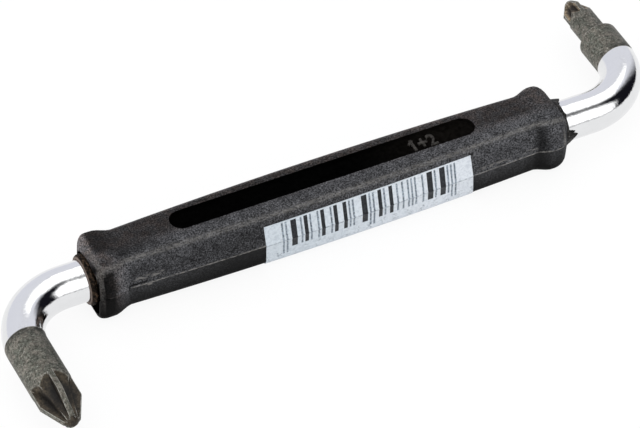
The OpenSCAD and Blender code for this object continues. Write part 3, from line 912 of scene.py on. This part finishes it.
# Painted shade: the recess is black inside, and so is the lower part of the hollow round the left lip
hair = 0.03 * MM
hollow_x = -36.2 * MM
hollow_r = 4.1 * MM
hollow_shade_to = 1.2 * MM
for face in handle.data.polygons:
    x, y, z = face.center - bar_axis
    in_trough = abs(x - grip_x) < recess_l / 2 + hair and abs(y - recess_off) < recess_w / 2 + hair
    if in_trough and recess_floor - 0.1 * MM < z < mouth_z + hair:
        face.material_index = 1
    end_on = math.hypot(y, z) < hollow_r and abs(face.normal.x) > 0.6
    hollow_wall = abs(face.normal.x) < 0.1 and abs(y) < hollow_r and abs(z) < hollow_r
    if x < hollow_x and (end_on or hollow_wall):
        face.material_index = 1 if z < hollow_shade_to else 0
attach(handle, "root")
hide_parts("grip")

# Raised figures 1 + 2 on the recess floor, which name the two point sizes; part of the moulding.
# The rest of the recess stays bare.
figures_place = Vector((14.5 * MM, 0.4 * MM, recess_floor + 0.1 * MM))
figures_size = (3.7 * MM, 2.4 * MM, 0.36 * MM)
flag_size = (0.95 * MM, 0.36 * MM, 0.34 * MM)
flag_place = Vector((0.04 * MM - figures_size[0] / 2, figures_size[1] / 2 - 0.52 * MM, 0))
flag_angle = math.radians(40)
deselect_all()
bpy.ops.object.text_add()
figures = bpy.context.object
figures.name = "size_figures"
figures.data.body = "1+2"
figures.data.align_x = "CENTER"
figures.data.align_y = "CENTER"
figures.data.extrude = 0.07
figures.data.bevel_depth = 0.02
figures.data.resolution_u = 6
bpy.ops.object.convert(target="MESH")
figures.data.name = "size_figures"
low = Vector([min(v.co[axis] for v in figures.data.vertices) for axis in range(3)])
high = Vector([max(v.co[axis] for v in figures.data.vertices) for axis in range(3)])
figures.scale = [size / (high[axis] - low[axis]) for axis, size in enumerate(figures_size)]
middle = Vector([(low[axis] + high[axis]) / 2 * figures.scale[axis] for axis in range(3)])
figures_middle = bar_axis + figures_place
figures.location = figures_middle - middle
bpy.ops.object.transform_apply(location=True, rotation=True, scale=True)
bpy.ops.object.mode_set(mode="EDIT")
bpy.ops.mesh.select_all(action="SELECT")
bpy.ops.mesh.remove_doubles(threshold=weld)
bpy.ops.mesh.normals_make_consistent(inside=False)
bpy.ops.object.mode_set(mode="OBJECT")
# The flag of the figure one slopes down from the top of its stroke
combine(figures, start_block(flag_size, figures_middle + flag_place, (0, 0, flag_angle)), "UNION")
bpy.ops.object.mode_set(mode="EDIT")
bpy.ops.mesh.select_all(action="SELECT")
bpy.ops.mesh.remove_doubles(threshold=weld)
# The flat faces are filled afresh, because the text's own filling leaves slivers without area
pick("faces", lambda co: abs(co.z - figures_middle.z) > 0.49 * figures_size[2])
bpy.ops.mesh.delete(type="FACE")
bpy.ops.mesh.select_all(action="SELECT")
bpy.ops.mesh.fill_holes(sides=0)
bpy.ops.mesh.select_all(action="SELECT")
bpy.ops.mesh.quads_convert_to_tris(quad_method="BEAUTY", ngon_method="BEAUTY")
finish_mesh(handle_smooth)
marks, tree, shader, coords = new_material("raised_plastic")
shader.inputs["Specular IOR Level"].default_value = 0.1
shader.inputs["Roughness"].default_value = 0.6
rubbed = noise_node(tree, coords, 3.0, detail=3, roughness=0.6)
shades = ramp_node(tree, rubbed, ((0.35, (0.011, 0.01, 0.009)), (0.65, (0.05, 0.046, 0.042))))
tree.links.new(shades, shader.inputs["Base Color"])
bump_node(tree, rubbed, 0.03, shader)
figures.data.materials.append(marks)
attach(figures, "root")

# Flash: plastic that crept out along the bar, part of the moulding. A whole lip is left at the large
# point's end; at the other end a low stub was torn, and two bumps and a pointed burr stand on it.

# The lip's section as (x from the bar's middle, radius) in mm, once round
lip_profile = (
    (-37.8, 3.04), (-37.83, 3.28), (-37.75, 3.46), (-37.5, 3.62), (-37.15, 3.72), (-36.98, 3.62),
    (-36.92, 3.3), (-36.2, 3.2), (-36.2, 3.0), (-37.8, 3.04))
around_lip = 72
lip_front = -37.3 * MM
lip_ragged = 0.03 * MM
rim_highlight_pale = (0.2, 0.16, 0.14)
first_x, first_r = lip_profile[0]
lip = start_ring("left_lip", around_lip, first_r * MM, bar_axis + Vector((first_x * MM, 0, 0)), across_x)
for (x_from, r_from), (x_to, r_to) in zip(lip_profile, lip_profile[1:]):
    move_out(((x_to - x_from) * MM, 0, 0))
    bpy.ops.transform.resize(value=(1, r_to / r_from, r_to / r_from),
                             center_override=bar_axis + Vector((x_to * MM, 0, 0)))
bpy.ops.mesh.select_all(action="SELECT")
bpy.ops.mesh.remove_doubles(threshold=weld)
pick("verts", lambda co: co.x < bar_axis.x + lip_front)
bpy.ops.transform.vertex_random(offset=lip_ragged, seed=3)
finish_mesh(50)

flash, tree, shader, coords = new_material("crept_plastic")
shader.inputs["Specular IOR Level"].default_value = 0.03
shader.inputs["Roughness"].default_value = 0.55
stain = noise_node(tree, coords, 2.4, detail=4, roughness=0.7)
brown = ramp_node(tree, stain, (
    (0.42, (0.002, 0.0015, 0.0013)), (0.54, (0.018, 0.0125, 0.009)), (0.66, (0.085, 0.054, 0.034))))
x_mm, y_mm, z_mm = millimetres(tree, coords)
# A painted highlight along the lip's front rim
rim_highlight = fade(tree, x_mm, -37.72, -37.82, "LINEAR")
tree.links.new(mix_colour(tree, rim_highlight, brown, rim_highlight_pale), shader.inputs["Base Color"])
bump_node(tree, stain, 0.04, shader)
lip.data.materials.append(flash)
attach(lip, "root")

torn, tree, shader, coords = new_material("torn_plastic")
shader.inputs["Specular IOR Level"].default_value = 0.1
shader.inputs["Roughness"].default_value = 0.5
chalky = noise_node(tree, coords, 2.6, detail=4, roughness=0.7)
shades = ramp_node(tree, chalky, ((0.4, 0.004), (0.55, (0.02, 0.019, 0.018)), (0.68, (0.1, 0.098, 0.095))))
tree.links.new(shades, shader.inputs["Base Color"])
bump_node(tree, chalky, 0.05, shader)

stub_from = 34.6 * MM
stub_to = 35.68 * MM
stub_r = 3.38 * MM
stub_taper = 0.945
stub_t = 0.22 * MM
stub_steps = 4
stub_ragged = 0.02 * MM
vertex_turn = 4
vertex_near = 0.08 * MM
# The rim is drawn out into a burr and two bumps: first, highest and last angle in degrees from +Y (0)
# over +Z (90) to -Y (180), how far in mm, how much the tip lifts off the bar, and how blunt it is
burrs = ((160, 176, 212, 1.35, 0.1, 1.5), (48, 64, 80, 0.85, 0.0, 0.6), (112, 120, 132, 0.2, 0.0, 1.5))
stub_start = bar_axis + Vector((stub_from, 0, 0))
stub = start_ring("torn_flash", 360 // vertex_turn, stub_r, stub_start, across_x)
for step in range(stub_steps):
    move_out(((stub_to - stub_from) / stub_steps, 0, 0))
bpy.ops.transform.resize(value=(1, stub_taper, stub_taper), center_override=bar_axis)
rim_r = stub_taper * stub_r
for first, peak, last, draw, lift, bluntness in burrs:
    for degrees in range(first, last, vertex_turn):
        share = min((degrees - first) / (peak - first), (last - degrees) / (last - peak)) ** bluntness * MM
        turn = math.radians(degrees)
        middle = bar_axis + Vector((stub_to, rim_r * math.cos(turn), rim_r * math.sin(turn)))
        pick("verts", lambda co: (co - middle).length < vertex_near)
        bpy.ops.transform.translate(value=(
            draw * share, lift * share * math.cos(turn), lift * share * math.sin(turn)))
bpy.ops.mesh.select_all(action="SELECT")
bpy.ops.transform.vertex_random(offset=stub_ragged, seed=11)
bpy.ops.object.mode_set(mode="OBJECT")
shell = stub.modifiers.new("thickness", "SOLIDIFY")
shell.thickness = stub_t
shell.offset = -1
bpy.ops.object.modifier_apply(modifier=shell.name)
bpy.ops.object.mode_set(mode="EDIT")
finish_mesh(35)
stub.data.materials.append(torn)
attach(stub, "root")

# Sticker: a printed paper barcode stuck on the near side, over the parting line and round the lower
# edge. It sits a little crooked. Its bars are made up and can't be read as a code.
label_corners = {"upper_left": (-12.41, 3.06), "upper_right": (19.53, 3.48),
                 "lower_left": (-12.08, -4.08), "lower_right": (20.15, -4.08)}
label_tuck_y = -2.2 * MM
label_t = 0.1 * MM
label_lift = 0.012 * MM
module_w = 0.284 * MM
bars_from = -9.78 * MM
bars_drop = 0.2 * MM
bars_foot = -1.85 * MM
guard_foot = -2.9 * MM
# Each bar: its first module and how many modules it is wide; the guard bars reach lower
bars = ((0, 1), (2, 1), (5, 3), (10, 1), (12, 2), (15, 1), (19, 1), (21, 2), (26, 1), (28, 2), (33, 2),
        (36, 1), (38, 1), (43, 3), (47, 1), (49, 1), (52, 2), (55, 1), (58, 2), (62, 1), (65, 1), (68, 1),
        (70, 1), (72, 1), (76, 1), (79, 3), (83, 1), (86, 3), (90, 1), (92, 1), (94, 1))
guards = (0, 2, 47, 49, 92, 94)
deselect_all()
bpy.context.view_layer.objects.active = blank
blank.select_set(True)
blank.name = blank.data.name = "barcode_sticker"
bpy.ops.object.mode_set(mode="EDIT")


def slice_blank(start, end, keep, clear=True):
    """Bisects the whole blank by the plane through two [x, z] places and along Y; keep is a side of it."""
    run = Vector((end[0] - start[0], 0, end[1] - start[1])) * MM
    outward = run.cross(Vector((0, 1, 0))).normalized()
    if outward.dot(Vector(keep)) > 0:
        outward.negate()
    bpy.ops.mesh.select_all(action="SELECT")
    bpy.ops.mesh.bisect(plane_co=bar_axis + Vector((start[0], 0, start[1])) * MM, plane_no=outward,
                        clear_outer=clear, threshold=weld)


slice_blank(label_corners["upper_left"], label_corners["upper_right"], (0, 0, -1))
slice_blank(label_corners["upper_left"], label_corners["lower_left"], (1, 0, 0))
slice_blank(label_corners["upper_right"], label_corners["lower_right"], (-1, 0, 0))
bpy.ops.mesh.select_all(action="SELECT")
bpy.ops.mesh.bisect(plane_co=bar_axis + Vector((0, label_tuck_y, 0)), plane_no=(0, 1, 0),
                    clear_outer=True, threshold=weld)
(left_x, left_z), (right_x, right_z) = label_corners["upper_left"], label_corners["upper_right"]
foot_x, foot_z = label_corners["lower_left"]
lean = (left_x - foot_x) / (left_z - foot_z)
rise = (right_z - left_z) / (right_x - left_x)
drop = bars_drop / MM
slice_blank((left_x, left_z - drop), (right_x, right_z - drop), (0, 0, 1), clear=False)
for height in (bars_foot / MM, guard_foot / MM):
    slice_blank((left_x, height), (right_x, height), (0, 0, 1), clear=False)
bar_sides = {bars_from + module_w * module for first, count in bars for module in (first, first + count)}
for side_x in sorted(bar_sides):
    x = side_x / MM
    slice_blank((x + lean * 2, 2), (x - lean * 2, -2), (1, 0, 0), clear=False)
bpy.ops.mesh.select_all(action="SELECT")
bpy.ops.transform.shrink_fatten(value=label_lift)
bpy.ops.object.mode_set(mode="OBJECT")


def away_from(tree, value, place):
    """How far a value lies from a place, either way."""
    return math_node(tree, "ABSOLUTE", math_node(tree, "SUBTRACT", value, place))


paper_old = (0.53, 0.58, 0.625)
paper_fresh = (0.615, 0.65, 0.695)
smudge_colour = (0.14, 0.17, 0.2)
smudge_pitch = 2.0
smudge_row_z = -3.0
paper, tree, shader, coords = new_material("sticker_paper")
shader.inputs["Specular IOR Level"].default_value = 0.4
shader.inputs["Roughness"].default_value = 0.55
x_mm, y_mm, z_mm = millimetres(tree, coords)
fibres = noise_node(tree, coords, 2.6, detail=4, roughness=0.7, distortion=0.6)
aged = mix_colour(tree, fade(tree, x_mm, -10, 18), paper_old, paper_fresh)
shades = ramp_node(tree, fibres, ((0.32, (0.72, 0.74, 0.77)), (0.55, 1), (0.75, 1)))
aged = mix_colour(tree, 1.0, aged, shades, "MULTIPLY")
# The crease over the parting line
off_parting = away_from(tree, z_mm, -parting_drop / MM)
crease = product(tree, fade(tree, off_parting, 0.13, 0.03), ramp_node(tree, fibres, ((0.4, 1), (0.6, 0.3))))
# A row of faint smudges under the bars
cell = math_node(tree, "FRACT", multiply_add(tree, x_mm, 1 / smudge_pitch, 5.6))
in_cell = fade(tree, away_from(tree, cell, 0.5), 0.3, 0.22)
in_row = fade(tree, away_from(tree, z_mm, smudge_row_z), 0.75, 0.65)
strokes = fade(tree, away_from(tree, noise_node(tree, coords, 1.3, detail=1), 0.5), 0.035, 0.01)
smudges = product(tree, in_cell, in_row, strokes)
marks_on = math_node(tree, "MAXIMUM", product(tree, crease, 0.9), product(tree, smudges, 0.6))
tree.links.new(mix_colour(tree, marks_on, aged, smudge_colour), shader.inputs["Base Color"])
bump_node(tree, fibres, 0.03, shader)
blank.data.materials.clear()
blank.data.materials.append(paper)
# The ink of the wide bars is dense; that of the bars one module wide is faint
for name, dense, thin in (("sticker_ink", (0.006, 0.006, 0.008), (0.03, 0.034, 0.04)),
                          ("faint_ink", (0.075, 0.09, 0.11), (0.36, 0.42, 0.48))):
    ink, tree, shader, coords = new_material(name)
    shader.inputs["Specular IOR Level"].default_value = 0.2
    shader.inputs["Roughness"].default_value = 0.5
    dry = noise_node(tree, coords, 3.6, detail=3, roughness=0.7)
    tree.links.new(ramp_node(tree, dry, ((0.4, dense), (0.66, thin))), shader.inputs["Base Color"])
    bump_node(tree, dry, 0.01, shader)
    blank.data.materials.append(ink)
for face in blank.data.polygons:
    x, y, z = face.center - bar_axis
    module = (x - lean * z - bars_from) / module_w
    ceiling = (left_z + rise * (x / MM - left_x)) * MM - bars_drop
    for first, count in bars:
        foot = guard_foot if first in guards else bars_foot
        if first < module < first + count and foot < z < ceiling:
            face.material_index = 1 if count > 1 else 2
shell = blank.modifiers.new("thickness", "SOLIDIFY")
shell.thickness = label_t
shell.offset = 1
bpy.ops.object.modifier_apply(modifier=shell.name)
bpy.ops.object.mode_set(mode="EDIT")
finish_mesh(30)
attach(blank, "root")
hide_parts("barcode_label")
